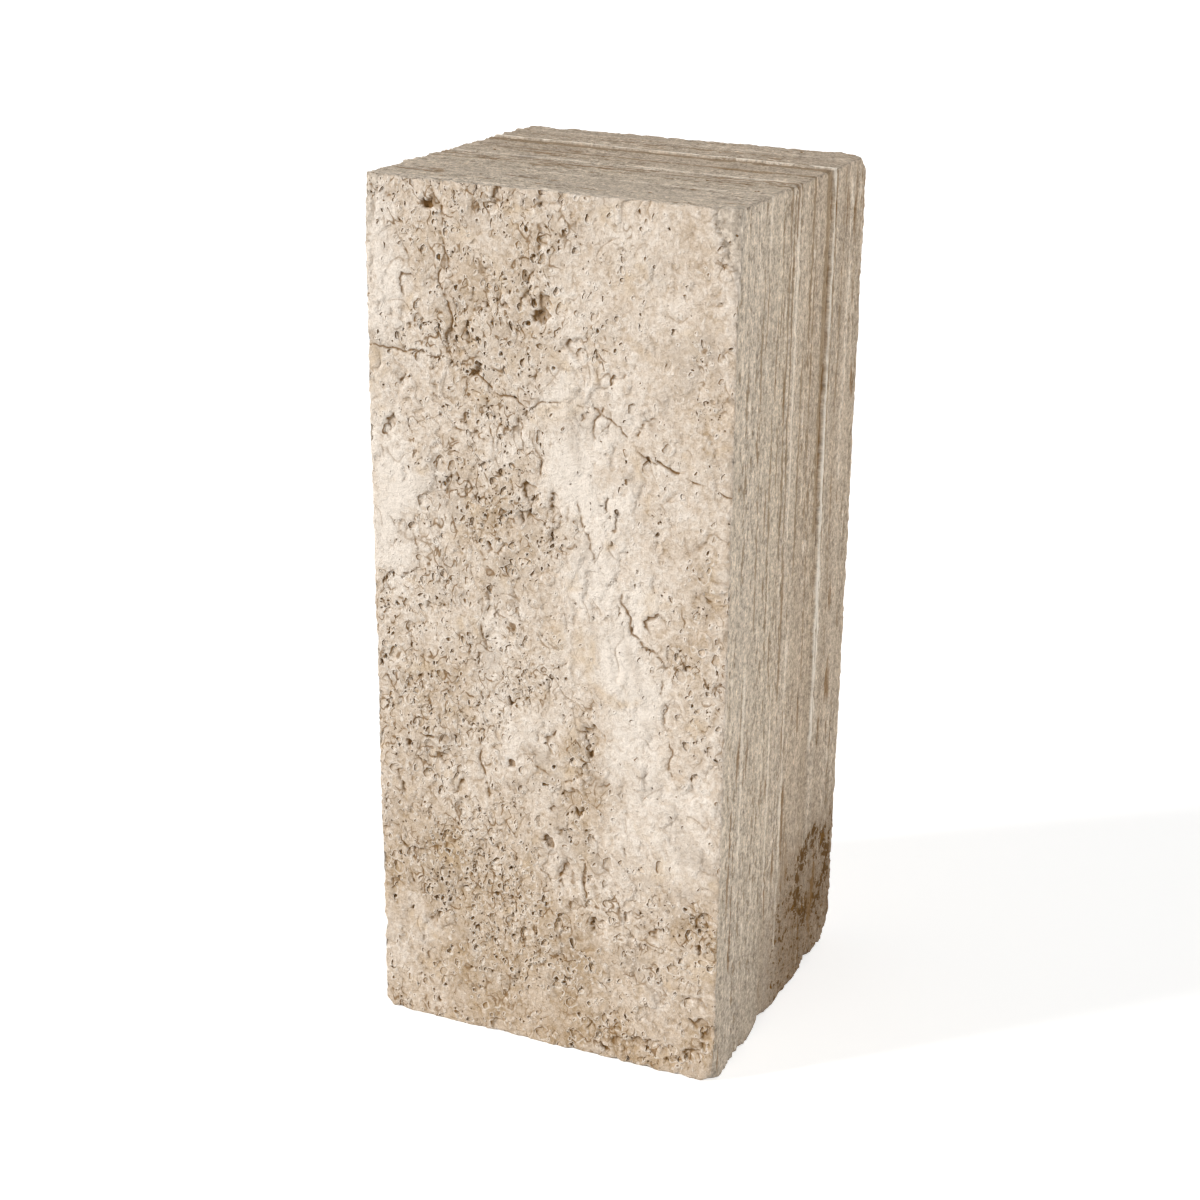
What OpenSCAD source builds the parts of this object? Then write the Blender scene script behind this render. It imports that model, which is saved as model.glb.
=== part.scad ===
// Travertine pedestal block: one solid piece of stone standing on end, with sawn sides,
// a weathered pitted face, an open bedding seam and worn, chipped arrises.
// Origin: centre of the underside. +Z up, -Y out of the pitted front face.

/* [Block] */
// Width across the front face
block_w = 300; // [240:5:380]
// Depth from the front face to the back face
block_d = 282; // [220:2:360]
// Height standing on end
block_h = 700; // [420:10:900]
// Width of the worn bevel along every arris
arris_wear = 1.6; // [0.8:0.2:4]

/* [Bedding seams] */
// Distance of the open seam behind the front face
seam_from_front = 197; // [120:1:210]
// Width of the open seam at the surface
seam_w = 5; // [3:0.5:9]
// Depth of the open seam
seam_depth = 4; // [2:0.5:8]
// Distance of the first closed vein behind the front face
vein_from_front = 30; // [20:1:60]
// Spacing of the closed veins
vein_pitch = 27; // [18:1:40]
// Width of a closed vein's groove
vein_w = 1.6; // [1:0.2:3]
// Depth of a closed vein's groove
vein_depth = 1; // [0.6:0.2:2]

/* [Front hollows] */
// Radius of the widest hollow's mouth
hollow_r = 8; // [5:0.5:11]
// Depth of the widest hollow
hollow_depth = 3.5; // [2:0.5:6]

/* [Foot hollows] */
// Length of the hollow along the foot of the front face
scar_len = 62; // [30:2:90]
// Height of that hollow's middle above the floor
scar_up = 24; // [16:1:40]
// Half of that hollow's height
scar_r = 9; // [6:0.5:12]
// Depth of that hollow
scar_depth = 3; // [2:0.5:5]

/* [Back face pits] */
// Number of pits in the back face
back_pits = 14; // [0:1:30]
// Radius of the widest pit's mouth
back_pit_r = 6; // [3:0.5:9]

/* [Corners and foot] */
// Reach of the front top right spall along width, depth and height
spall_right = [19, 13, 46]; // [4:1:60]
// Reach of the front top left spall along width, depth and height
spall_left = [15, 9, 40]; // [4:1:60]
// Reach of the rounded back top right corner along width, depth and height
worn_back_top = [11, 16, 15]; // [4:1:40]
// Reach of the rounded back foot corner on the right along width, depth and height
worn_back_foot = [14, 20, 16]; // [4:1:40]
// Reach of the worn front foot corner on the right along width, depth and height
worn_front_foot = [12, 10, 12]; // [4:1:40]
// Reach of the worn front foot corner on the left along width, depth and height
worn_left_foot = [7, 5, 7]; // [4:1:40]

/* [Broken arrises] */
// Spacing of the bites broken out of the right foot arris
foot_bite_pitch = 24; // [18:1:60]
// Widest reach of a bite in from the right foot arris
foot_bite = 7; // [3:0.5:12]
// Spacing of the bites worn out of the two rear arrises on the right and at the top
rear_bite_pitch = 58; // [40:1:120]
// Widest reach of a bite in from a rear arris
rear_bite = 5; // [2:0.5:9]

/* [Hidden] */
stone = [0.80, 0.74, 0.66];
seed = 27;                    // fixes the spread of the random sizes and places
past = 1;                     // how far a cutting tool runs clear of the surface
sphere_fn = 48;
front_y = -block_d / 2;
right_x = block_w / 2;
seam_y = front_y + seam_from_front;
// Closed veins keep half a pitch clear of the open seam and of the back face
veins_before = floor((seam_from_front - vein_from_front) / vein_pitch - 0.5);
veins_behind = floor((block_d - seam_from_front) / vein_pitch - 0.5);
vein_ys = [for (i = [0 : veins_before]) front_y + vein_from_front + i * vein_pitch,
           for (i = [1 : veins_behind]) seam_y + i * vein_pitch];

// The larger hollows in the front face: place across and up the face as shares of it,
// and size as a share of the widest hollow's
front_hollows = [
    [0.41, 0.952, 0.62], [0.49, 0.875, 0.95], [0.15, 0.875, 0.75], [0.57, 0.845, 0.80],
    [0.45, 0.660, 1.00], [0.45, 0.650, 0.70], [0.53, 0.640, 0.60], [0.28, 0.660, 0.55],
    [0.80, 0.545, 1.00], [0.72, 0.535, 0.60], [0.31, 0.475, 0.50], [0.53, 0.395, 0.75],
    [0.57, 0.335, 0.90], [0.58, 0.322, 0.85], [0.12, 0.310, 0.55], [0.07, 0.310, 0.50],
    [0.51, 0.268, 0.65], [0.56, 0.225, 0.70], [0.56, 0.212, 0.65], [0.12, 0.213, 0.60],
    [0.95, 0.190, 0.95], [0.95, 0.167, 0.60], [0.10, 0.165, 0.65], [0.66, 0.168, 0.60],
    [0.97, 0.072, 0.85], [0.83, 0.172, 0.55],
];

// Radius of the ball that leaves a dish with this mouth radius and depth
function ball_r(mouth_r, depth) = (mouth_r * mouth_r + depth * depth) / (2 * depth);

// A dish sunk into a vertical face at y, facing along side (-1 front, 1 back)
module dish(x, y, z, mouth_r, depth, side) {
    r = ball_r(mouth_r, depth);
    translate([x, y + side * (r - depth), z]) sphere(r, $fn = sphere_fn);
}

// A bar with all its arrises bevelled, centred across and standing on the floor
module bevelled_plate(a, b, height) {
    w = arris_wear;
    linear_extrude(height)
        polygon([[-a / 2 + w, -b / 2], [a / 2 - w, -b / 2], [a / 2, -b / 2 + w], [a / 2, b / 2 - w],
                 [a / 2 - w, b / 2], [-a / 2 + w, b / 2], [-a / 2, b / 2 - w], [-a / 2, -b / 2 + w]]);
}

// The sawn block: three bevelled bars meet in a block with twelve worn arrises
module sawn_block() {
    intersection() {
        bevelled_plate(block_w, block_d, block_h);
        translate([0, block_d / 2, block_h / 2]) rotate([90, 0, 0])
            bevelled_plate(block_w, block_h, block_d);
        translate([-block_w / 2, 0, block_h / 2]) rotate([90, 0, 90])
            bevelled_plate(block_d, block_h, block_w);
    }
}

// A V groove of this width and depth round the two sides and the top, in a plane parallel to the front
module bedding_groove(y, width, depth) {
    outer_w = block_w / 2 + past;
    mouth = width / 2 * (1 + past / depth);
    for (side = [-1, 1])
        translate([side * outer_w, y, -past]) rotate([0, 0, side * 90])
            linear_extrude(block_h + 2 * past)
                polygon([[-mouth, 0], [mouth, 0], [0, depth + past]]);
    translate([-outer_w, y, block_h + past]) rotate([90, 0, 90])
        linear_extrude(2 * outer_w)
            polygon([[-mouth, 0], [mouth, 0], [0, -depth - past]]);
}

// Everything beyond a flat break across one corner, given by its reach along the three arrises
module corner_break(corner, reach) {
    out = [for (i = [0 : 2]) sign(corner[i]) / reach[i]];
    flat = norm([out[0], out[1]]);
    at = [corner[0] - sign(corner[0]) * reach[0], corner[1], corner[2] < 0 ? 0 : block_h];
    size = 4 * max(reach);
    translate(at) rotate([0, atan2(flat, out[2]), atan2(out[1], out[0])])
        translate([-size, -size, 0]) cube([2 * size, 2 * size, size]);
}

module corner_breaks() {
    corner_break([right_x, front_y, block_h], spall_right);
    corner_break([-right_x, front_y, block_h], spall_left);
    corner_break([right_x, -front_y, block_h], worn_back_top);
    corner_break([right_x, -front_y, -block_h], worn_back_foot);
    corner_break([right_x, front_y, -block_h], worn_front_foot);
    corner_break([-right_x, front_y, -block_h], worn_left_foot);
}

// Shallow conchoidal bites along an arris, from one point to another; out says which way
// is clear of the stone across the arris
module arris_bites(from, to, out, reach, pitch, row) {
    run = to - from;
    count = floor(norm(run) / pitch);
    shares = rands(0.3, 1, count, seed + row);
    shifts = rands(0.15, 0.85, count, seed + row + 1);
    for (i = [0 : count - 1]) {
        bite = reach * shares[i];
        stand_off = 1.2 * bite;
        translate(from + run * (i + shifts[i]) / count + out * stand_off)
            sphere(norm([stand_off, stand_off + bite]), $fn = sphere_fn);
    }
}

module broken_arrises() {
    arris_bites([right_x, front_y + worn_front_foot[1], 0], [right_x, -front_y - worn_back_foot[1], 0],
                [1, 0, -1], foot_bite, foot_bite_pitch, 10);
    arris_bites([right_x, -front_y, worn_back_foot[2]], [right_x, -front_y, block_h - worn_back_top[2]],
                [1, 1, 0], rear_bite, rear_bite_pitch, 20);
    arris_bites([-right_x, -front_y, block_h], [right_x - worn_back_top[0], -front_y, block_h],
                [0, 1, 1], rear_bite, rear_bite_pitch, 30);
}

module front_face_hollows() {
    for (h = front_hollows)
        dish((h[0] - 0.5) * block_w, front_y, h[1] * block_h, hollow_r * h[2], hollow_depth * h[2], -1);
}

// A long eroded hollow low on the front face, made by dishes side by side
module foot_scar() {
    steps = 4;
    for (i = [0 : steps])
        dish(right_x - worn_front_foot[0] - scar_r - i * scar_len / steps, front_y,
             scar_up - i * 1.5, scar_r * (1 - 0.12 * i), scar_depth * (1 - 0.1 * i), -1);
}

module back_face_pits() {
    margin = 4 * back_pit_r;
    xs = rands(-right_x + margin, right_x - margin, back_pits, seed + 2);
    zs = rands(margin, block_h - margin, back_pits, seed + 3);
    sizes = rands(0.4, 1, back_pits, seed + 4);
    if (back_pits > 0)
        for (i = [0 : back_pits - 1])
            dish(xs[i], -front_y, zs[i], back_pit_r * sizes[i], 0.5 * back_pit_r * sizes[i], 1);
}

module block() {
    color(stone) difference() {
        sawn_block();
        bedding_groove(seam_y, seam_w, seam_depth);
        for (y = vein_ys) bedding_groove(y, vein_w, vein_depth);
        corner_breaks();
        broken_arrises();
        front_face_hollows();
        foot_scar();
        back_face_pits();
    }
}

block();
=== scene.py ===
"""A weathered travertine pedestal block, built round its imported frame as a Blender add-on."""
import math
import random

import bpy
import numpy as np
from bpy.props import (FloatProperty, FloatVectorProperty, IntProperty, PointerProperty)
from mathutils import Matrix, Vector


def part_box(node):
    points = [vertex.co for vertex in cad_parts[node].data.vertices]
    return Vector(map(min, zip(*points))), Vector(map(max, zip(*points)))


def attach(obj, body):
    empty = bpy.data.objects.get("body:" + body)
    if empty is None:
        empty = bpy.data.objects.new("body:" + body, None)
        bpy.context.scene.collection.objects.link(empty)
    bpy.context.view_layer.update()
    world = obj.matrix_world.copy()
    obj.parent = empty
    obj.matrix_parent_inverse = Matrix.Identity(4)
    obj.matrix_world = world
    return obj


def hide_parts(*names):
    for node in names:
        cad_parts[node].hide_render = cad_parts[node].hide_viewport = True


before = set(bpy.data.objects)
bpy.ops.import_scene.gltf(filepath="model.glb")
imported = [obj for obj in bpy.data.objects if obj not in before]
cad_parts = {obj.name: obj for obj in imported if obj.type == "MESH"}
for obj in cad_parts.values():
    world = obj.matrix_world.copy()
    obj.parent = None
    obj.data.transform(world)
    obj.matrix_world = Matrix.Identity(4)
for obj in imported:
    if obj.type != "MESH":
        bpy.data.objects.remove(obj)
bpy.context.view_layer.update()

bl_info = {
    "name": "Travertine Pedestal Block",
    "version": (1, 0, 0),
    "blender": (4, 5, 0),
    "location": "View3D > Sidebar > Pedestal",
    "description": "Makes a solid travertine block with pitted faces, bedding and worn arrises",
    "category": "Add Mesh",
}

MM = 0.001
LOW, HIGH = (Vector(corner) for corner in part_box("block"))
MIDDLE = (LOW + HIGH) / 2
HALF = (HIGH - LOW) / 2

# ---------------------------------------------------------------- what the mason and the weather left
# Places on the front face are millimetres from its left edge and from its foot.

# Hollows: across, up, half width, half height, depth, and how far the floor rises to the lower right
HOLLOWS = (
    (53, 681, 3, 5, 4.0, 0.0), (111, 691, 5, 9, 2.2, 0.7), (37, 618, 9, 12, 1.5, 1.0),
    (21, 598, 3, 4, 1.5, 0.3), (33, 602, 3, 7, 1.2, 0.5), (48, 591, 5, 4, 1.6, 0.2),
    (71, 583, 5, 9, 2.2, 0.1), (76, 574, 7, 5, 2.0, 0.2), (101, 613, 2.5, 3, 2.4, 0.0),
    (115, 612, 3, 3.5, 2.4, 0.0), (132, 621, 3, 6, 2.2, 0.2), (148, 616, 5, 8, 2.8, 0.1),
    (146, 608, 9, 6, 3.4, 0.2), (171, 589, 6, 6, 2.0, 0.2), (163, 586, 4, 3, 1.6, 0.4),
    (206, 594, 5, 7, 1.1, 1.0), (93, 563, 3, 4, 2.6, 0.0), (32, 546, 4, 5, 1.7, 0.3),
    (62, 537, 6, 3, 1.4, 0.6), (38, 540, 3, 3, 1.4, 0.3), (85, 523, 7, 8, 1.5, 0.9),
    (136, 533, 4, 5, 2.0, 0.3), (129, 522, 7, 8, 1.4, 0.9), (185, 534, 7, 9, 1.2, 1.0),
    (19, 513, 3.5, 7, 2.6, 0.1), (90, 512, 5, 4, 1.6, 0.4), (72, 470, 7, 10, 1.5, 0.9),
    (137, 471, 8, 10, 3.0, 0.4), (133, 453, 7, 6, 2.6, 0.5), (158, 466, 6, 10, 1.6, 0.8),
    (200, 470, 3, 9, 1.7, 0.4), (210, 458, 6, 8, 1.4, 0.9), (101, 426, 3, 3.5, 3.6, 0.0),
    (113, 425, 3, 3, 2.0, 0.0), (85, 456, 4, 6, 1.2, 0.7), (207, 440, 4, 4, 1.5, 0.3),
    (241, 382, 11, 10, 2.0, 0.8), (216, 392, 5, 8, 1.2, 1.0), (51, 367, 4, 4, 1.9, 0.3),
    (31, 390, 4, 5, 1.6, 0.3), (93, 331, 5, 8, 1.6, 0.6), (118, 300, 4, 4, 2.8, 0.0),
    (145, 274, 5, 5, 1.4, 0.5), (158, 271, 9, 10, 1.5, 0.5), (190, 282, 9, 10, 2.0, 0.3),
    (188, 268, 4, 4, 2.8, 0.0), (174, 228, 10, 7, 1.8, 0.6), (179, 217, 4, 5, 3.0, 0.1),
    (160, 214, 7, 5, 1.6, 0.6), (167, 196, 9, 5, 1.7, 0.6), (151, 186, 6, 7, 3.2, 0.2),
    (27, 247, 3.5, 3.5, 2.8, 0.0), (58, 240, 5, 5, 2.2, 0.2), (119, 246, 3.5, 5, 2.8, 0.1),
    (20, 217, 4, 6, 2.0, 0.1), (23, 206, 3.5, 5, 1.8, 0.1), (76, 218, 5, 8, 1.6, 0.5),
    (218, 188, 2, 5, 2.0, 0.1), (168, 156, 6, 14, 1.8, 0.7), (184, 155, 3, 12, 1.5, 0.5),
    (38, 150, 8, 6, 1.8, 0.6), (13, 115, 7, 9, 1.6, 0.8), (196, 118, 7, 9, 2.4, 0.2),
    (287, 142, 10, 9, 1.8, 0.3), (284, 116, 4, 6, 3.0, 0.2), (252, 123, 11, 8, 1.4, 0.5),
    (224, 132, 8, 5, 1.4, 0.5), (46, 93, 3, 3, 2.2, 0.0), (27, 99, 2.5, 2, 2.8, 0.0),
    (44, 58, 5, 6, 1.4, 0.5), (54, 50, 5, 3, 1.6, 0.4), (50, 17, 2.5, 3.5, 2.6, 0.0),
    (121, 110, 3, 7, 1.5, 0.5), (243, 22, 20, 5, 2.6, 0.3), (222, 17, 16, 5, 1.8, 0.3),
    (205, 9, 4, 3, 3.6, 0.0), (286, 52, 8, 5, 2.6, 0.1), (293, 44, 5, 6, 2.4, 0.1),
    (279, 22, 10, 6, 2.6, 0.2), (291, 33, 5, 5, 2.2, 0.2), (262, 12, 9, 4, 2.0, 0.3),
)

# Cracks and scarps: the points that each runs through, its half width, its depth, its unevenness and
# how far the stone to its right has dropped
CRACKS = (
    (((0, 571), (20, 570), (30, 569), (45, 571), (69, 568), (88, 565), (103, 550), (113, 544),
      (138, 538)), 0.9, 1.6, 1.3, 0.0),
    (((138, 538), (158, 545), (170, 548), (182, 544), (202, 537), (216, 526), (226, 514), (240, 509)),
     0.8, 1.1, 1.3, 0.0),
    (((240, 511), (250, 506), (256, 504)), 1.3, 2.4, 0.6, 0.0),
    (((266, 500), (275, 498), (287, 495), (299, 491)), 0.8, 1.3, 1.0, 0.0),
    (((56, 692), (62, 685), (66, 674), (64, 661), (67, 650), (70, 642), (71, 634)), 1.0, 1.6, 0.8, 0.8),
    (((64, 634), (62, 624), (66, 614)), 1.0, 1.8, 1.0, 0.5),
    (((69, 610), (72, 600), (70, 588), (76, 578), (75, 568)), 1.3, 2.0, 1.2, 0.6),
    (((145, 696), (149, 680), (146, 664), (142, 652)), 1.0, 1.4, 1.0, 0.9),
    (((139, 640), (134, 632), (136, 622), (141, 615)), 1.1, 2.0, 1.0, 0.7),
    (((31, 606), (30, 590), (29, 576), (31, 568)), 0.9, 1.3, 1.0, 0.6),
    (((258, 628), (266, 630), (274, 629), (288, 631)), 0.7, 0.7, 0.6, 0.0),
    (((203, 568), (212, 570), (222, 580)), 0.8, 0.8, 1.0, 0.0),
    (((213, 404), (212, 395), (220, 387), (221, 374), (231, 364), (245, 357), (248, 345)),
     1.0, 1.6, 1.6, 1.3),
    (((246, 340), (246, 331), (251, 319), (252, 300)), 0.8, 1.1, 1.6, 0.8),
    (((254, 290), (257, 284), (254, 272), (257, 262)), 0.8, 1.1, 1.4, 0.5),
    (((95, 563), (84, 553), (82, 540), (86, 533)), 0.9, 1.3, 1.0, 0.4),
    (((74, 515), (86, 514), (93, 508)), 0.9, 1.3, 0.9, 0.0),
    (((138, 515), (141, 505), (146, 500), (145, 488)), 0.9, 1.3, 1.0, 0.6),
    (((175, 470), (180, 452), (186, 438), (191, 424)), 0.8, 1.2, 1.2, 0.7),
    (((196, 545), (188, 530), (189, 516)), 0.9, 1.2, 1.0, 0.7),
    (((240, 545), (228, 538), (224, 528)), 0.8, 1.0, 1.0, 0.4),
    (((90, 262), (92, 250), (97, 228), (100, 214)), 1.0, 1.6, 1.2, 0.7),
    (((130, 262), (140, 250), (152, 243), (166, 240)), 0.8, 1.0, 1.2, 0.5),
    (((166, 240), (178, 247), (192, 240), (205, 246)), 0.8, 1.1, 1.2, 0.0),
    (((17, 436), (22, 424), (15, 410)), 0.8, 1.0, 1.0, 0.4),
    (((38, 440), (36, 424), (42, 410)), 0.9, 1.2, 1.0, 0.6),
    (((18, 162), (26, 150), (24, 134), (30, 122)), 0.9, 1.2, 1.0, 0.6),
    (((96, 366), (94, 352), (99, 340)), 0.9, 1.3, 1.0, 0.6),
    (((184, 172), (183, 156), (186, 143)), 1.0, 1.5, 0.6, 0.6),
)

# Soft patches: across, up, half width, half height, turn in degrees, strength
PALE_AND_DARK = (
    (14, 455, 22, 72, 0, 1.2), (15, 640, 20, 42, 0, 0.8), (22, 590, 22, 30, 0, 0.7),
    (178, 535, 30, 30, 0, 0.8), (182, 475, 27, 48, 10, 1.1), (198, 415, 22, 40, 10, 0.5),
    (216, 352, 26, 50, 12, 1.1), (228, 255, 26, 55, 8, 0.8), (262, 185, 30, 40, 0, 0.4),
    (25, 75, 26, 30, 0, 0.5), (90, 350, 32, 34, 0, 0.4), (128, 258, 28, 26, 0, 0.5),
    (160, 640, 20, 50, 0, 0.3), (60, 420, 30, 35, 0, 0.3), (105, 500, 25, 22, 0, 0.2),
    (80, 662, 38, 42, 0, -0.45), (132, 640, 30, 50, 0, -0.5), (118, 436, 34, 40, 15, -0.55),
    (190, 275, 20, 24, 0, -0.7), (172, 225, 20, 18, 0, -0.6), (60, 140, 50, 60, 0, -0.5),
    (284, 142, 18, 26, 0, -1.0), (225, 14, 70, 16, 0, -0.9), (110, 35, 80, 40, 0, -0.5),
    (20, 320, 26, 50, 0, -0.3), (275, 440, 40, 200, 0, -0.3), (158, 95, 50, 40, 0, -0.35),
    (55, 255, 45, 40, 0, -0.35), (175, 200, 30, 20, 0, -0.4), (15, 690, 22, 14, 0, -0.4),
)
CROWDED = (
    (96, 690, 26, 12, 0, 0.9), (130, 625, 28, 50, 0, 0.55), (74, 580, 18, 26, 0, 0.8),
    (45, 660, 26, 40, 0, 0.4), (130, 316, 26, 22, 0, 0.9), (80, 145, 34, 34, 20, 1.0),
    (128, 84, 40, 24, -20, 0.9), (50, 285, 50, 50, 0, 0.45), (190, 280, 16, 16, 0, 0.9),
    (268, 578, 14, 18, 0, 0.8), (282, 132, 18, 22, 0, 0.8), (196, 122, 16, 14, 0, 0.7),
    (278, 402, 18, 14, 0, 0.6), (272, 340, 26, 24, 0, 0.45), (125, 450, 40, 50, 10, 0.4),
    (130, 130, 24, 20, 0, 0.7), (35, 375, 34, 24, 0, 0.5), (110, 530, 30, 30, 0, 0.4),
    (14, 690, 16, 16, 0, 0.9), (240, 20, 50, 12, 0, 0.6),
    (14, 630, 22, 50, 0, -0.7), (14, 450, 22, 60, 0, -0.5), (180, 500, 32, 60, 8, -0.7),
    (200, 420, 26, 50, 10, -0.6), (218, 340, 28, 60, 12, -0.7), (228, 250, 28, 50, 8, -0.6),
    (250, 620, 45, 60, 0, -0.35), (255, 210, 40, 30, 0, -0.5), (24, 74, 26, 26, 0, -0.7),
    (265, 480, 50, 60, 0, -0.2),
)

# Layers that stand out on the sawn sides and top: distance behind the front, half width, from and to
# what height, and how much paler
VEINS = (
    (28, 4, 420, 560, -0.25), (40, 3.0, 200, 330, 0.45), (54, 2.8, 380, 640, -0.4),
    (64, 3.0, 560, 760, 0.3), (80, 2.6, 330, 520, -0.4), (92, 1.8, 480, 700, -0.35),
    (101, 2.4, 130, 300, 0.5), (107, 1.9, 430, 760, -0.75), (115, 1.7, 300, 760, -0.65),
    (124, 2.6, 440, 760, 0.55), (133, 3.4, 60, 330, 0.4), (143, 2.2, 400, 560, -0.55),
    (155, 2.4, 560, 760, -0.7), (163, 1.9, 430, 640, -0.55), (172, 2.4, 300, 450, -0.45),
    (188, 6.0, 420, 760, -0.60), (208, 1.8, 400, 760, -0.55), (228, 3.0, 300, 760, -0.3),
    (244, 5.0, 420, 700, 0.25),
)

# The ring of rot on the right side and the stain on the top: centre and radius in metres
RING = ((0.0, 0.084, 0.087), 0.036)
STAIN = ((-0.080, -0.009), 0.014)

# Corners lost: which way each corner points, and its reach along width, depth and height in mm
LOST_CORNERS = (
    ((1, -1, 1), (22, 14, 58)), ((-1, -1, 1), (15, 9, 40)), ((1, 1, 1), (14, 20, 18)),
    ((1, 1, -1), (20, 30, 26)), ((1, -1, -1), (17, 15, 17)), ((-1, -1, -1), (13, 11, 13)),
)


# ---------------------------------------------------------------- settings
class StoneSettings(bpy.types.PropertyGroup):
    pitch: FloatProperty(
        name="Carving pitch", description="Spacing of the points that the weather carves",
        default=0.0008, unit="LENGTH")
    triangles: IntProperty(
        name="Triangles", description="Triangles left in the finished stone", default=196000)
    arris_radius: FloatProperty(
        name="Arris radius", description="Rounding of the sawn arrises", default=0.0010, unit="LENGTH")
    swell: FloatProperty(
        name="Swell", description="Height of the broad hills on the front", default=0.0022, unit="LENGTH")
    scarp: FloatProperty(
        name="Scarp", description="Height of one step between two skins of stone", default=0.0008,
        unit="LENGTH")
    pit_depth: FloatProperty(
        name="Pit depth", description="Depth of the widest random pits", default=0.0028, unit="LENGTH")
    seam_back: FloatProperty(
        name="Seam place", description="Distance of the open seam behind the front", default=0.197,
        unit="LENGTH")
    cream: FloatVectorProperty(
        name="Cream", description="Palest stone", default=(0.86, 0.765, 0.665),
        subtype="COLOR")
    beige: FloatVectorProperty(
        name="Beige", description="Usual stone", default=(0.68, 0.56, 0.445), subtype="COLOR")
    tan: FloatVectorProperty(
        name="Tan", description="Darkest clean stone", default=(0.46, 0.330, 0.205), subtype="COLOR")
    grey: FloatVectorProperty(
        name="Grey", description="Grey bedding", default=(0.53, 0.435, 0.345), subtype="COLOR")
    # The colour of the dirt in the pits, also used for the painted shade and shadow in pits, hollows and
    # at flake drops
    dirt_and_shade: FloatVectorProperty(
        name="Dirt and shade", description="What has settled in the pits", default=(0.21, 0.108, 0.030),
        subtype="COLOR")


class StudioSettings(bpy.types.PropertyGroup):
    eye: FloatVectorProperty(
        name="Camera place", description="Where the camera stands", default=(0.6961, -1.5720, 0.9754),
        subtype="TRANSLATION", unit="LENGTH")
    azimuth: FloatProperty(
        name="Azimuth", description="How far round to the right the camera stands",
        default=math.radians(21.658), unit="ROTATION")
    tilt: FloatProperty(
        name="Tilt", description="How far down the camera looks", default=math.radians(21.30),
        unit="ROTATION")
    roll: FloatProperty(
        name="Roll", description="How far the camera leans", default=math.radians(1.577), unit="ROTATION")
    lens: FloatProperty(name="Lens", description="Focal length in mm", default=66.75)
    shift_x: FloatProperty(name="Shift across", description="Picture moved across", default=-0.0833)
    shift_y: FloatProperty(name="Shift up", description="Picture moved up", default=0.0375)
    key: FloatProperty(name="Key light", description="Strength of the light at the left", default=2.68)
    rear: FloatProperty(name="Rear light", description="Strength of the light behind", default=1.35)
    fill: FloatProperty(name="Fill light", description="Strength of the light at the right", default=1.3)
    sky: FloatProperty(name="Sky", description="Light from all round", default=0.25)


# ---------------------------------------------------------------- arithmetic as nodes
class Number:
    """A number that changes over the stone, held by a node's output."""

    def __init__(self, graph, socket):
        self.graph, self.socket = graph, socket

    def __add__(self, other): return self.graph.math("ADD", self, other)
    __radd__ = __add__
    def __sub__(self, other): return self.graph.math("SUBTRACT", self, other)
    def __rsub__(self, other): return self.graph.math("SUBTRACT", other, self)
    def __mul__(self, other): return self.graph.math("MULTIPLY", self, other)
    __rmul__ = __mul__
    def __truediv__(self, other): return self.graph.math("DIVIDE", self, other)
    def __pow__(self, other): return self.graph.math("POWER", self, other)
    def __abs__(self): return self.graph.math("ABSOLUTE", self)
    def least(self, other): return self.graph.math("MINIMUM", self, other)
    def most(self, other): return self.graph.math("MAXIMUM", self, other)
    def part(self): return self.graph.math("FRACT", self)
    def above(self, other): return self.graph.math("GREATER_THAN", self, other)

    def ramp(self, low, high, start=0.0, end=1.0, smooth=True):
        """start below low, end above high, and a soft slope between."""
        return self.graph.ramp(self, low, high, start, end, smooth)


class Place:
    """A point or direction that changes over the stone, held by a node's output."""

    def __init__(self, graph, socket):
        self.graph, self.socket = graph, socket

    def __add__(self, other): return self.graph.vector("ADD", self, other)
    def __sub__(self, other): return self.graph.vector("SUBTRACT", self, other)

    def __mul__(self, other):
        if isinstance(other, (Place, tuple)):
            return self.graph.vector("MULTIPLY", self, other)
        return self.graph.scale(self, other)

    def least(self, other): return self.graph.vector("MINIMUM", self, other)
    def most(self, other): return self.graph.vector("MAXIMUM", self, other)
    def sign(self): return self.graph.vector("SIGN", self)

    def dot(self, other):
        return self.graph.vector("DOT_PRODUCT", self, other, number=True)

    def split(self):
        node = self.graph.node("ShaderNodeSeparateXYZ")
        self.graph.feed(node.inputs[0], self)
        return [Number(self.graph, out) for out in node.outputs]


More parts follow.
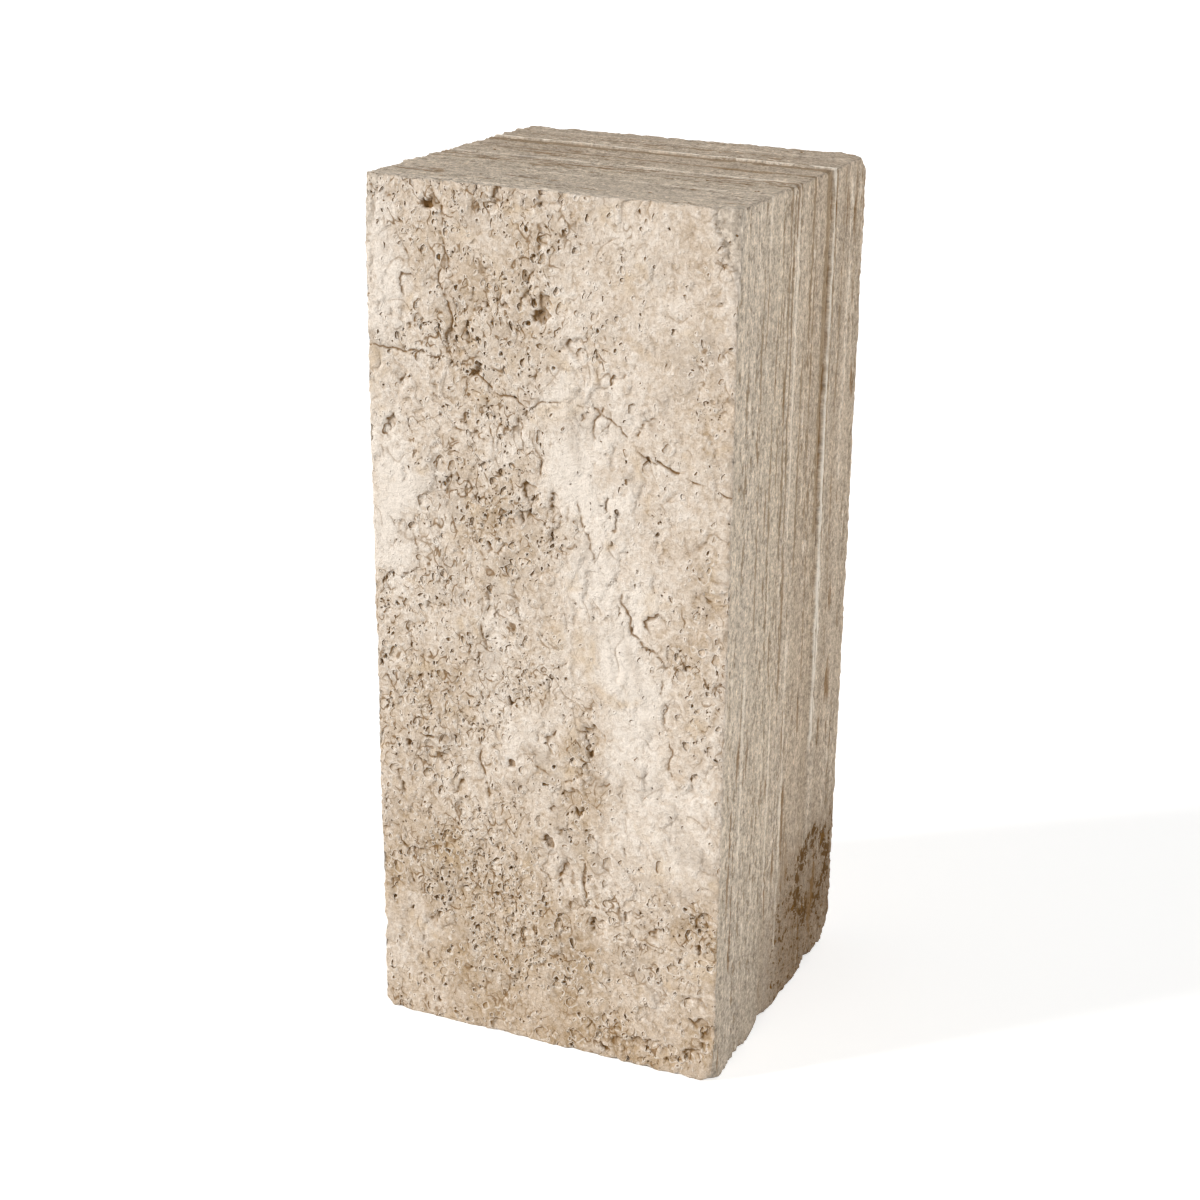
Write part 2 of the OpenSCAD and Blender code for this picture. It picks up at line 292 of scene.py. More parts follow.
class Graph:
    """Builds nodes in a geometry tree or in a material's tree alike."""

    def __init__(self, tree):
        self.tree = tree

    def node(self, kind, **settings):
        node = self.tree.nodes.new(kind)
        for name, value in settings.items():
            setattr(node, name, value)
        return node

    def feed(self, socket, value):
        if isinstance(value, (Number, Place)):
            self.tree.links.new(value.socket, socket)
        else:
            socket.default_value = value

    def math(self, operation, *values):
        node = self.node("ShaderNodeMath", operation=operation)
        for socket, value in zip(node.inputs, values):
            self.feed(socket, value)
        return Number(self, node.outputs[0])

    def vector(self, operation, *values, number=False):
        node = self.node("ShaderNodeVectorMath", operation=operation)
        for socket, value in zip(node.inputs, values):
            self.feed(socket, value)
        return Number(self, node.outputs["Value"]) if number else Place(self, node.outputs["Vector"])

    def scale(self, place, amount):
        node = self.node("ShaderNodeVectorMath", operation="SCALE")
        self.feed(node.inputs[0], place)
        self.feed(node.inputs["Scale"], amount)
        return Place(self, node.outputs["Vector"])

    def join(self, *values):
        node = self.node("ShaderNodeCombineXYZ")
        for socket, value in zip(node.inputs, values):
            self.feed(socket, value)
        return Place(self, node.outputs[0])

    def ramp(self, value, low, high, start, end, smooth):
        node = self.node("ShaderNodeMapRange", interpolation_type="SMOOTHSTEP" if smooth else "LINEAR")
        for socket, number in zip(node.inputs, (value, low, high, start, end)):
            self.feed(socket, number)
        return Number(self, node.outputs[0])

    def blend(self, share, first, second):
        """Mixes two colours, or two numbers, by share."""
        colours = not isinstance(first, (Number, float))
        node = self.node("ShaderNodeMix", data_type="RGBA" if colours else "FLOAT")
        sockets = [s for s in node.inputs if s.enabled]
        for socket, value in zip(sockets, (share, first, second)):
            self.feed(socket, value)
        out = next(s for s in node.outputs if s.enabled)
        return Place(self, out) if colours else Number(self, out)

    def noise(self, place, size, detail=2.0, rough=0.5, turn=0):
        """Smooth noise of this feature size in metres, about -1 to 1."""
        node = self.node("ShaderNodeTexNoise")
        self.feed(node.inputs["Vector"], place + (turn * 1.7, turn * -2.3, turn * 3.1))
        node.inputs["Scale"].default_value = 1 / size
        node.inputs["Detail"].default_value = detail
        node.inputs["Roughness"].default_value = rough
        return Number(self, node.outputs[0]) * 2.0 - 1.0

    def drift(self, place, size, reach, detail=1.0, turn=0):
        """The place moved by up to about reach, by noise of this size."""
        node = self.node("ShaderNodeTexNoise")
        self.feed(node.inputs["Vector"], place + (turn * 1.1, turn * 2.9, turn * -1.3))
        node.inputs["Scale"].default_value = 1 / size
        node.inputs["Detail"].default_value = detail
        return place + (Place(self, node.outputs["Color"]) - (0.5, 0.5, 0.5)) * (2.0 * reach)

    def cells(self, place, size, turn=0):
        """Scattered centres about size apart: the distance in metres to the nearest, three random
        shares of its own, and its place."""
        node = self.node("ShaderNodeTexVoronoi")
        self.feed(node.inputs["Vector"], place + (turn * 0.9, turn * 1.3, turn * -2.1))
        node.inputs["Scale"].default_value = 1 / size
        chance = Place(self, node.outputs["Color"]).split()
        here = Place(self, node.outputs["Position"]) - (turn * 0.9, turn * 1.3, turn * -2.1)
        return Number(self, node.outputs["Distance"]) * size, chance, here

    def read(self, name, vector=False):
        """An attribute of the stone's points, in either kind of tree."""
        if self.tree.type == "GEOMETRY":
            node = self.node("GeometryNodeInputNamedAttribute",
                             data_type="FLOAT_VECTOR" if vector else "FLOAT")
            node.inputs["Name"].default_value = name
            out = next(s for s in node.outputs if s.enabled)
        else:
            node = self.node("ShaderNodeAttribute", attribute_name=name)
            out = node.outputs["Vector" if vector else "Fac"]
        return (Place if vector else Number)(self, out)


# ---------------------------------------------------------------- how travertine weathers
def pits(g, place, size, narrow, wide, crowd, turn, lean=0.0, wall=0.0009):
    """Round hollows: their depth as a share of the deepest, where they are, their proud rims, which also
    carry a painted highlight, and a painted shadow on the steep walls at their upper left, 0 to 1.
    crowd is the share of cells that hold one, lean raises the floor to the lower right, and wall is
    how wide the slope at the rim is."""
    away, chance, centre = g.cells(place, size, turn)
    radius = (chance[0] * chance[0]).ramp(0.0, 1.0, narrow, wide, smooth=False)
    there = crowd.above(chance[1])
    inside = radius - away
    sunk = inside.ramp(0.0, wall) * there
    rim_and_highlight = inside.ramp(-0.0009, 0.0) * there * (1.0 - sunk)
    depth = sunk * (radius / wide)
    if not lean:
        return depth, sunk, rim_and_highlight, None
    across, _, up = (place - centre).split()
    along = (across - up * 0.6) / radius
    # Painted shadow: a dark band on the steep wall at each pit's upper left, the side away from the light
    shaded_wall_band = inside.ramp(-0.0002, 0.0003, smooth=False) * inside.ramp(0.0005, 0.0013, 1.0, 0.0)
    painted_wall_shadow = shaded_wall_band * along.ramp(-0.75, 0.25, 1.0, 0.0) * there
    return depth * (1.0 - lean * along.ramp(-0.9, 0.9, smooth=False)), sunk, rim_and_highlight, painted_wall_shadow


def flakes(g, place, length, size, reach, turn, step=0.0008):
    """Overlapping skins of stone: each drops sharply at its upper left edge, then rises again. Gives
    the depth as a share of one step, and a narrow painted shadow line at the drop."""
    across, _, up = place.split()
    bend = g.noise(place * (1.0, 1.0, 0.85), size, 2.0, 0.5, turn) * reach
    phase = (across + up * 0.35) / length + bend
    part = phase.part()
    edge = step / length
    drop = part.ramp(0.0, edge)
    return (1.0 - part) * drop, part.ramp(edge, edge * 2.5, 1.0, 0.0) * drop


def flaking_skins(g, rest):
    """Three sizes of flakes over each other, as shares of a step, and the painted shadow lines at their
    drops.
    """
    bent_face = g.drift(rest, 0.018, 0.005, 0.0, turn=14)
    big, big_drop_shadow = flakes(g, bent_face, 0.060, 0.034, 1.5, 15)
    middle, middle_drop_shadow = flakes(g, bent_face, 0.026, 0.015, 1.6, 26)
    small, small_drop_shadow = flakes(g, bent_face, 0.014, 0.0070, 1.5, 27, 0.0007)
    patch = g.noise(rest, 0.024, 0.0, turn=28).ramp(-0.25, 0.3, 0.1, 1.0)
    flaking = g.noise(rest, 0.055, 0.0, turn=16).ramp(-0.3, 0.35, 0.15, 1.0)
    worms = worm_lines(g, bent_face, 0.020, 0.0007, 33)
    return (big * flaking, middle * patch, small,
            (big_drop_shadow * flaking).most(middle_drop_shadow * patch), small_drop_shadow, worms)


def worm_lines(g, place, size, width, turn):
    """Curved hair cracks, broken here and there, 0 to 1."""
    bend = abs(g.noise(place * (1.0, 1.0, 0.7), size, 0.0, 0.5, turn)) * (size * 0.45)
    broken = g.noise(place, size * 1.3, 0.0, 0.5, turn + 1).ramp(0.05, 0.35)
    return (bend / width).ramp(0.0, 1.1, 1.0, 0.0) * broken


# Kinds of hollow in a face cut along the bed: stretch upward, spacing, least and greatest radius, share
# of places filled for each crowding and without any, turn, lean of the floor, width of the wall
SCOOPS = (0.8, 0.0145, 0.0022, 0.0064, 0.75, 0.12, 1, 0.97, 0.0009)
BOWLS = (0.85, 0.0086, 0.0011, 0.0036, 0.85, 0.10, 8, 0.9, 0.0009)
CHIPS = (0.7, 0.0048, 0.0007, 0.0021, 0.75, 0.15, 31, 0.97, 0.0009)
PORES = (0.75, 0.0072, 0.0006, 0.0022, 0.45, 0.0, 2, 0.3, 0.0008)


def bed_pits(g, place, crowd, kind):
    """The pits of one kind: what pits() gives for it."""
    stretch, spacing, narrow, wide, share, always, turn, lean, wall = kind
    return pits(g, place * (1.0, 2.0, stretch), spacing, narrow, wide, crowd * share + always, turn, lean,
                wall)


def front_pores(g, rest, crowd):
    """The random hollows in a face cut along the bed: depth in metres, the part of it that is fine,
    dirt and painted shade with painted shadow on the steep upper-left walls, and proud rims that also
    carry a painted highlight."""
    place = g.drift(g.drift(rest, 0.014, 0.0034, 0.0, 3), 0.004, 0.0010, 0.0, 4)
    scoop, _, edge, scoop_wall_shadow = bed_pits(g, place, crowd, SCOOPS)
    bowl, _, brim, bowl_wall_shadow = bed_pits(g, place, crowd, BOWLS)
    chip, _, nib, chip_wall_shadow = bed_pits(g, place, crowd, CHIPS)
    pit, in_pit, lip, _ = bed_pits(g, place, crowd, PORES)
    swarm = (crowd + g.noise(rest, 0.015, 0.0, turn=60)).ramp(0.40, 1.05, 0.02, 0.85)
    hole, in_hole, _, _ = pits(g, place, 0.0028, 0.0004, 0.0011, swarm, 5, 0.0, 0.0004)
    curls = worm_lines(g, place, 0.0060, 0.00045, 36).most(worm_lines(g, place, 0.0095, 0.00055, 38))
    curls = curls * crowd.ramp(0.0, 0.6, 0.35, 1.0)
    fine = bowl * 0.0026 + chip * 0.0014 + pit * 0.0026 + hole * 0.0018
    # The steep upper-left walls of scoops, bowls and chips are painted shadow; the dark floors are dirt
    # and painted shade
    dirt_and_shade = (in_pit * pit.ramp(0.1, 0.8, 0.3, 1.0)).most(in_hole).most(scoop.ramp(0.6, 1.0) * 0.15)
    dirt_and_shade = dirt_and_shade.most(bowl.ramp(0.35, 1.0) * 0.35).most(curls * 0.85).most(scoop_wall_shadow).most(bowl_wall_shadow).most(chip_wall_shadow)
    # The proud rims are lightened in colour later, as a painted highlight
    fine_rim = brim.most(lip).most(nib * 0.9)
    rim_and_highlight = fine_rim.most(edge * 0.8) * (1.0 - dirt_and_shade)
    return fine + scoop * 0.0022 + curls * 0.0006, fine - fine_rim * 0.0004, dirt_and_shade, rim_and_highlight


def bedding_place(g, rest):
    """Rest place with its depth behind the front bent by the bed's slope and gentle waves."""
    across, back, up = rest.split()
    slow = g.noise(g.join(across * 0.35, back * 0.5, up * 0.35), 0.075, 1.0, turn=6) * 0.0030
    waves = g.noise(g.join(across * 0.6, back * 0.6, up * 0.5), 0.024, 1.0, turn=10) * 0.0016
    quick = g.noise(g.join(across * 0.7, back, up * 0.6), 0.008, 1.0, turn=7) * 0.0009
    behind = back + (across - HALF.x) * 0.04 + slow + waves + quick
    return g.join(across, behind, up), behind


def bedding_tone(g, bent):
    """How hard and pale each layer is, about -1 to 1: broad beds, streaks, short strokes and hairs."""
    beds = g.noise(bent * (0.07, 1.0, 0.05), 0.016, 3.0, 0.6, turn=18)
    calm = g.noise(bent * (0.3, 1.0, 0.2), 0.034, 1.0, turn=45).ramp(-0.35, 0.3, 0.2, 1.2)
    streaks = g.noise(bent * (0.15, 1.0, 0.12), 0.0052, 4.0, 0.66, turn=19) * calm
    strokes = g.noise(bent * (0.40, 1.0, 0.32), 0.0034, 3.0, 0.66, turn=50) * (calm * 0.7 + 0.3)
    hairs = g.noise(bent * (0.13, 1.0, 0.11), 0.0016, 2.0, 0.6, turn=20) * calm
    return beds, streaks, strokes, hairs


def veins(behind, up):
    """The layers that stand out on the sawn faces: how much paler, or darker below 0."""
    total = 0.0
    for place, half_width, low, high, strength in VEINS:
        near = (1.0 - abs(behind - (place * MM - HALF.y)) / (half_width * MM)).ramp(0.0, 0.55)
        ends = up.ramp((low - 25) * MM, low * MM) * up.ramp(high * MM, (high + 25) * MM, 1.0, 0.0)
        total = near * ends * strength + total
    return total


def sawn_relief(g, rest, seam_back):
    """What the weather leaves on a face sawn across the bed: its depth in metres, the part of it that is
    fine, the darkening in its slits, pits, splits and open seam, the pale lip of the open seam, the
    rotten place at the foot, the place behind the front and the layers' tones."""
    across, back, up = rest.split()
    bent, behind = bedding_place(g, rest)
    beds, streaks, strokes, hairs = tones = bedding_tone(g, bent)
    crowd = (g.noise(rest * (0.6, 1.0, 0.4), 0.04, 2.0, turn=20).ramp(-0.2, 0.6, 0.08, 0.55)
             + back.ramp(-0.04, 0.03, 0.0, 0.10))
    slit, in_slit, _, _ = pits(
        g, bent * (0.16, 1.0, 0.13), 0.0046, 0.0004, 0.0014, crowd * 1.1, 8, wall=0.0006)
    small, in_small, _, _ = pits(
        g, bent * (0.6, 1.0, 0.5), 0.0048, 0.0004, 0.0015, crowd, 9, wall=0.0005)
    split = abs(g.noise(bent * (0.06, 1.0, 0.05), 0.018, 2.0, 0.5, turn=51)) * 0.009
    split = split.ramp(0.0, 0.0010, 1.0, 0.0) * g.noise(
        bent * (0.3, 1.0, 0.25), 0.018, 1.0, turn=52).ramp(0.0, 0.25)

    # The open seam, and the pale lip behind it that widens downward and ends above the foot
    gap = behind - (seam_back - HALF.y)
    along = g.noise(rest * (1.0, 0.2, 1.0), 0.032, 3.0, turn=21)
    openness = along.ramp(-0.45, 0.15, 0.55, 1.0)
    fresh = up.ramp(0.28, 0.55, 0.25, 1.0)
    seam = (1.0 - abs(gap + 0.0015) / (openness * 0.0044)).ramp(0.0, 0.6) * openness * fresh
    lip_width = up.ramp(0.30, 0.58, 0.0070, 0.0019) * (0.8 + along * 0.6)
    lip = (1.0 - abs(gap - 0.0028 - lip_width * 0.7) / lip_width).ramp(0.0, 0.35) * up.ramp(0.205, 0.235)
    lip = lip * along.ramp(-0.5, 0.0, 0.4, 1.0)

    # The rotten foot: a ring of pits on a brown ground
    rot_mask = back.ramp(-0.07, 0.05) * up.ramp(0.175, 0.06) * across.ramp(0.0, 0.12)
    rot_place = g.drift(rest, 0.024, 0.011, 2.0, turn=22)
    _, ring_back, ring_up = (rot_place - RING[0]).split()
    ring = abs((ring_back * ring_back + ring_up * ring_up) ** 0.5 - RING[1])
    ring = ring.ramp(0.003, 0.017, 1.0, 0.0) * across.ramp(0.0, 0.12)
    ring = ring * g.noise(rest * (1.0, 1.0, 0.6), 0.013, 2.0, 0.6, turn=54).ramp(-0.25, 0.2, 0.15, 1.0)
    rot_mask = rot_mask.most(ring)
    rot, in_rot, _, _ = pits(g, rot_place * (1.0, 1.0, 0.7), 0.0078, 0.0010, 0.0044,
                             rot_mask * 0.50 + ring * 0.5, 23, 0.3, 0.0012)
    rough = g.noise(rest, 0.008, 4.0, 0.6, turn=24) * (0.0010 + rot_mask * 0.0018)
    fine = slit * 0.0024 + small * 0.0016 - streaks * 0.0010 - strokes * 0.0011
    depth = (0.0009 - beds * 0.0010 - hairs * 0.0002 + fine + split * 0.0008 + rough + seam * 0.0040
             - lip * 0.0014 + rot * 0.0040)
    dirt_and_shade = in_slit.most(in_small * 0.9).most(in_rot).most(seam).most(split * 0.7)
    return depth, fine, dirt_and_shade, lip, rot_mask, ring, behind, tones


def relief_sizes(stone):
    """The settings that the geometry nodes take as inputs."""
    return (("Arris radius", stone.arris_radius), ("Swell", stone.swell), ("Scarp", stone.scarp),
            ("Pit depth", stone.pit_depth), ("Seam place", stone.seam_back))


def weathering_tree(stone, finishes):
    """Geometry nodes that round, chip, split and pit the sawn block."""
    tree = bpy.data.node_groups.new("Weathered travertine", "GeometryNodeTree")
    tree.interface.new_socket("Geometry", in_out="INPUT", socket_type="NodeSocketGeometry")
    sizes = {}
    for name, value in relief_sizes(stone):
        socket = tree.interface.new_socket(name, in_out="INPUT", socket_type="NodeSocketFloat")
        socket.subtype = "DISTANCE"
        socket.default_value = value
        sizes[name] = socket.identifier
    tree.interface.new_socket("Geometry", in_out="OUTPUT", socket_type="NodeSocketGeometry")
    g = Graph(tree)
    group_in = g.node("NodeGroupInput")
    radius, swell, scarp, pit_depth, seam_back = (Number(g, group_in.outputs[name]) for name in sizes)
    rest = g.read("rest", vector=True)
    across, back, up = rest.split()

    # How near each point is to the front and the back, whose pattern differs from the sawn sides'
    from_middle = rest - tuple(MIDDLE)
    is_front = back.ramp(-0.05, 0.05, 1.0, 0.0, smooth=False)

    # How crowded with pits: what the placed patches say, and clouds of it
    clouds = g.noise(g.drift(rest, 0.05, 0.02, turn=11) * (1.0, 1.0, 0.6), 0.040, 2.0, turn=12)
    crowd = g.read("crowd") + clouds * 0.55 + across.ramp(-0.15, 0.15, 0.40, 0.24, smooth=False)
    crowd = crowd.most(0.0)
    worn = crowd.ramp(0.0, 0.7, 0.45, 1.0)

    # Front and back: hills, flaking skins, worm lines and pits
    hills = g.noise(rest, 0.085, 3.0, 0.45, turn=13) * swell * 0.5 + swell * 0.4
    big, middle, small, _, _, worms = flaking_skins(g, rest)
    skins = (big * 1.7 + middle * 1.5 + small * 0.7 * worn) * scarp
    crumbs = abs(g.noise(rest, 0.0058, 3.0, 0.6, turn=17)) * 0.0019 * worn
    grain = g.noise(rest, 0.0028, 2.0, 0.6, turn=29) * 0.00065
    pore_depth, _, _, _ = front_pores(g, rest, crowd)
    front = hills + skins + worms * 0.0010 + crumbs + grain + pore_depth * (pit_depth / 0.0028)
    lost = g.read("spall")
    broken_skin = g.noise(rest, 0.007, 3.0, 0.6, turn=34) * 0.0016 * lost
    plainer = is_front.ramp(0.0, 1.0, 0.65, 1.0, smooth=False)
    front = ((front + 0.0002) * plainer + g.read("carved") + broken_skin).most(0.0)

    # Sides and top: layers worn by their hardness, slits and the open seam
    sawn, _, _, _, _, _, _, tones = sawn_relief(g, rest, seam_back)
    sawn = sawn.most(0.0)
    crumble = ((tones[0] * -0.008 - tones[1] * 0.006) * across.ramp(-0.14, 0.14, 0.25, 1.0, smooth=False)
               * up.ramp(0.0, 0.3, 0.08, 1.0, smooth=False))

    # These are worked out once, and read below
    hold = g.node("GeometryNodeCaptureAttribute", domain="POINT")
    tree.links.new(group_in.outputs["Geometry"], hold.inputs["Geometry"])
    held = {}
    for name, value in (("front", front), ("sawn", sawn), ("crowd", crowd), ("crumble", crumble)):
        hold.capture_items.new("FLOAT", name)
        g.feed(hold.inputs[name], value)
        held[name] = Number(g, hold.outputs[name])
    front, sawn = held["front"], held["sawn"]

    # Each point lies on or behind all six worn faces, so that hollows cut cleanly through the arrises
    near_end = g.join(LOW.x + sawn, LOW.y + front, LOW.z + sawn * 0.12)
    far_end = g.join(HIGH.x - sawn, HIGH.y - front, HIGH.z - sawn)
    place = rest.most(near_end).least(far_end)

    # Arrises: wear everywhere and bites here and there, as cuts at 45 degrees
    room = (place - near_end).least(far_end - place).split()
    nibble = g.noise(rest, 0.011, 3.0, 0.6, turn=25)
    bite = g.noise(rest, 0.030, 2.0, 0.5, turn=35)
    low_right = up.ramp(0.03, 0.0) * across.ramp(0.10, 0.14)
    rear = back.ramp(0.10, 0.135)
    reach = (radius + nibble * 0.0032 + bite.ramp(0.15, 0.7, 0.0, 0.006)
             + low_right * bite.ramp(-0.35, 0.5, 0.0, 0.010) + rear * 0.0016)
    shift = [0.0, 0.0, 0.0]
    for first, second in ((0, 1), (0, 2), (1, 2)):
        wear = reach + held["crumble"] if (first, second) == (0, 2) else reach
        cut = (wear.most(0.0004) - (room[first] + room[second])).most(0.0) * 0.5
        shift[first] = cut + shift[first]
        shift[second] = cut + shift[second]
    place = place - g.join(*shift) * from_middle.sign()

    # Lost corners: whatever stands beyond a rough break is pressed back to it
    fresh = lost
    depth = g.blend(g.read("cut_along"), sawn, front)
    for corner, reaches in LOST_CORNERS:
        tip = Vector(m + s * h for m, s, h in zip(MIDDLE, corner, HALF))
        out = Vector(s / (r * MM) for s, r in zip(corner, reaches)).normalized()
        limit = out.dot(tip - Vector((corner[0] * reaches[0] * MM, 0, 0)))
        ripple = (g.noise(rest, 0.012, 4.0, 0.55, turn=30) * 0.0022
                  + g.noise(rest, 0.028, 1.0, turn=31) * 0.003)
        beyond = (place.dot(tuple(out)) - limit + ripple).most(0.0)
        place = place - g.scale(g.join(*out), beyond)
        fresh = fresh.most(beyond.ramp(0.0, 0.0012))

    # Hollow ground and proud edges: painted shade and dirt in the hollows, and paler proud ground
    soften = g.node("GeometryNodeBlurAttribute", data_type="FLOAT")
    g.feed(next(s for s in soften.inputs if s.name == "Value" and s.enabled), depth)
    g.feed(soften.inputs["Iterations"], 9)
    level = Number(g, next(s for s in soften.outputs if s.enabled))
    edge = [abs(number) * -1.0 + half for number, half in zip(from_middle.split(), HALF)]
    least, most = edge[0].least(edge[1]).least(edge[2]), edge[0].most(edge[1]).most(edge[2])
    flat = (edge[0] + edge[1] + edge[2] - least - most).ramp(0.002, 0.009)
    geometry = hold.outputs["Geometry"]
    for name, value in (("crowd", held["crowd"]), ("broken", fresh),
                        ("hollow", (depth - level) * 1000.0 * flat)):
        store = g.node("GeometryNodeStoreNamedAttribute", data_type="FLOAT", domain="POINT")
        store.inputs["Name"].default_value = name
        tree.links.new(geometry, store.inputs["Geometry"])
        g.feed(next(s for s in store.inputs if s.name == "Value" and s.enabled), value)
        geometry = store.outputs["Geometry"]
    move = g.node("GeometryNodeSetPosition")
    tree.links.new(geometry, move.inputs["Geometry"])
    g.feed(move.inputs["Position"], place)
    real = g.node("GeometryNodeRealizeInstances")
    tree.links.new(move.outputs[0], real.inputs[0])
    geometry = real.outputs[0]
    for finish, chosen in zip(finishes, (None, g.read("cut_along").above(0.9))):
        paint = g.node("GeometryNodeSetMaterial")
        paint.inputs["Material"].default_value = finish
        tree.links.new(geometry, paint.inputs["Geometry"])
        if chosen:
            g.feed(paint.inputs["Selection"], chosen)
        geometry = paint.outputs[0]
    tree.links.new(geometry, g.node("NodeGroupOutput").inputs[0])
    return tree, sizes


# ---------------------------------------------------------------- the sawn block and its placed marks
def sawn_block(pitch):
    """A closed box of square cells about pitch wide, as a mesh with its rest places."""
    counts = [max(2, round(2 * half / pitch)) for half in HALF]
    stride = np.array([1, counts[0] + 1, (counts[0] + 1) * (counts[1] + 1)])
    quads = []
    for axis in range(3):
        u, v = (axis + 1) % 3, (axis + 2) % 3
        first, second = np.meshgrid(np.arange(counts[u]), np.arange(counts[v]), indexing="ij")
        for end in (0, counts[axis]):
            ring = ((0, 0), (1, 0), (1, 1), (0, 1)) if end else ((0, 0), (0, 1), (1, 1), (1, 0))
            codes = [end * stride[axis] + (first + du) * stride[u] + (second + dv) * stride[v]
                     for du, dv in ring]
            quads.append(np.stack(codes, -1).reshape(-1, 4))
    codes, loops = np.unique(np.concatenate(quads), return_inverse=True)
    steps = np.stack([codes % stride[1], codes // stride[1] % (counts[1] + 1), codes // stride[2]], -1)
    places = np.array(LOW) + steps * (2 * np.array(HALF) / counts)
    mesh = bpy.data.meshes.new("Travertine block")
    mesh.vertices.add(len(codes))
    mesh.vertices.foreach_set("co", places.ravel())
    mesh.loops.add(loops.size)
    mesh.loops.foreach_set("vertex_index", loops.ravel().astype(np.int32))
    mesh.polygons.add(loops.size // 4)
    mesh.polygons.foreach_set("loop_start", np.arange(0, loops.size, 4, dtype=np.int32))
    mesh.update(calc_edges=True)
    mesh.attributes.new("rest", "FLOAT_VECTOR", "POINT").data.foreach_set("vector", places.ravel())
    return mesh, places


def smooth(share):
    share = np.clip(share, 0, 1)
    return share * share * (3 - 2 * share)


def ripple(across, up, reach, wave, seed):
    """Bends places by a few slow waves, so that outlines aren't round or straight."""
    dice = random.Random(seed)
    moved = [across.copy(), up.copy()]
    for scale in (1, 0.5, 0.27):
        for target in (0, 1):
            turn, phase = dice.uniform(0, math.pi), dice.uniform(0, 2 * math.pi)
            swing = 2 * math.pi / (wave * scale)
            moved[target] += reach * scale * np.sin(
                swing * (across * math.cos(turn) + up * math.sin(turn)) + phase)
    return moved


def soft_patches(across, up, patches):
    """The sum of soft ellipses."""
    total = np.zeros_like(across)
    bent_across, bent_up = ripple(across, up, 9, 70, 5)
    for centre, height, wide, tall, turn, strength in patches:
        c, s = math.cos(math.radians(turn)), math.sin(math.radians(turn))
        u, v = bent_across - centre, bent_up - height
        total += strength * np.exp(-((u * c + v * s) / wide) ** 2 - ((v * c - u * s) / tall) ** 2)
    return total


def hollows(across, up):
    """Depth in mm of the placed hollows, and a painted shadow on their upper-left walls with darker deep
    floors.
    """
    deepest, soil_and_shadow = np.zeros_like(across), np.zeros_like(across)
    bent_across, bent_up = ripple(*ripple(across, up, 1.5, 17, 8), 0.55, 5, 9)
    for centre, height, wide, tall, depth, lean in HOLLOWS:
        near = (abs(across - centre) < wide + 4) & (abs(up - height) < tall + 4)
        u, v = (bent_across[near] - centre) / wide, (bent_up[near] - height) / tall
        wall = 1.1 / math.sqrt(wide * tall)
        inside = smooth((1 - np.hypot(u, v)) / min(wall, 0.6))
        rise = 1 - lean * np.clip(0.5 + 0.42 * (u - 0.6 * v), 0, 1)
        deepest[near] = np.maximum(deepest[near], depth * inside * rise)
        out = np.hypot(u, v)
        # Painted shadow on the wall at each hollow's upper left, the side away from the light
        shaded_wall_band = smooth((1 - out) / 0.12) * smooth((out - 0.5) / 0.3)
        facing = np.clip(0.35 - 0.75 * (u - 0.6 * v) / np.maximum(out, 0.2), 0, 1)
        floor = smooth((depth * inside * rise - 1.5) / 2.0) * (1 - lean)
        soil_and_shadow[near] = np.maximum(soil_and_shadow[near], np.maximum(shaded_wall_band * facing * min(1, depth / 1.5), floor))
    return deepest, soil_and_shadow


def jagged(points, uneven, dice):
    """The points of a line that wanders as a crack does, halving it until its steps are small."""
    points = [Vector(p) for p in points]
    while max((b - a).length for a, b in zip(points, points[1:])) > 2.5:
        finer = [points[0]]
        for a, b in zip(points, points[1:]):
            step = b - a
            side = Vector((-step.y, step.x)) * dice.uniform(-1, 1) * 0.12 * uneven
            finer += [(a + b) / 2 + side, b]
        points = finer
    return points


def cracks(across, up):
    """Depth in mm of the placed cracks, and of the drops beside them."""
    deepest, dropped = np.zeros_like(across), np.zeros_like(across)
    dice = random.Random(12)
    for points, half_width, depth, uneven, drop in CRACKS:
        line = jagged(points, uneven, dice)
        open_now = 1.0
        for a, b in zip(line, line[1:]):
            open_now = min(1.3, max(0.3, open_now + dice.uniform(-0.4, 0.4)))
            wide = half_width * (0.75 + 0.6 * open_now)
            pad = wide + (9 if drop else 0.1)
            near = ((across > min(a.x, b.x) - pad) & (across < max(a.x, b.x) + pad)
                    & (up > min(a.y, b.y) - pad) & (up < max(a.y, b.y) + pad))
            step = b - a
            u, v = across[near] - a.x, up[near] - a.y
            share = np.clip((u * step.x + v * step.y) / step.length_squared, 0, 1)
            away = np.hypot(u - share * step.x, v - share * step.y)
            cut = depth * min(1.0, open_now) * np.clip(1 - away / wide, 0, 1)
            deepest[near] = np.maximum(deepest[near], cut)
            if drop:
                right = u * abs(step.y) + v * step.x * math.copysign(1, -step.y) > 0
                fall = 1.3 * drop * min(1.0, open_now) * right * np.exp(-away / 3.0)
                dropped[near] = np.maximum(dropped[near], fall)
    return deepest, dropped


def spalls(across, up):
    """Depth in mm of the skin lost at the two upper corners, and the painted shadow line at each one's
    cliff.
    """
    u, v = ripple(*ripple(across, up, 1.4, 24, 15), 0.9, 6, 16)
    right = (u - 276) + (v - 698) * 0.40
    left = (2 - u) + (v - 650) * 0.3
    here = v > 622
    depth = (2.8 * smooth(right / 1.1) + 1.8 * smooth(left / 1.1)) * here
    broken_up = 0.62 + 0.38 * np.sin(v * 0.55) * np.sin(v * 0.23 + 1)
    line = (np.exp(-((right - 0.4) / 0.9) ** 2) + np.exp(-((left - 0.4) / 0.9) ** 2)) * broken_up * here
    return depth, line


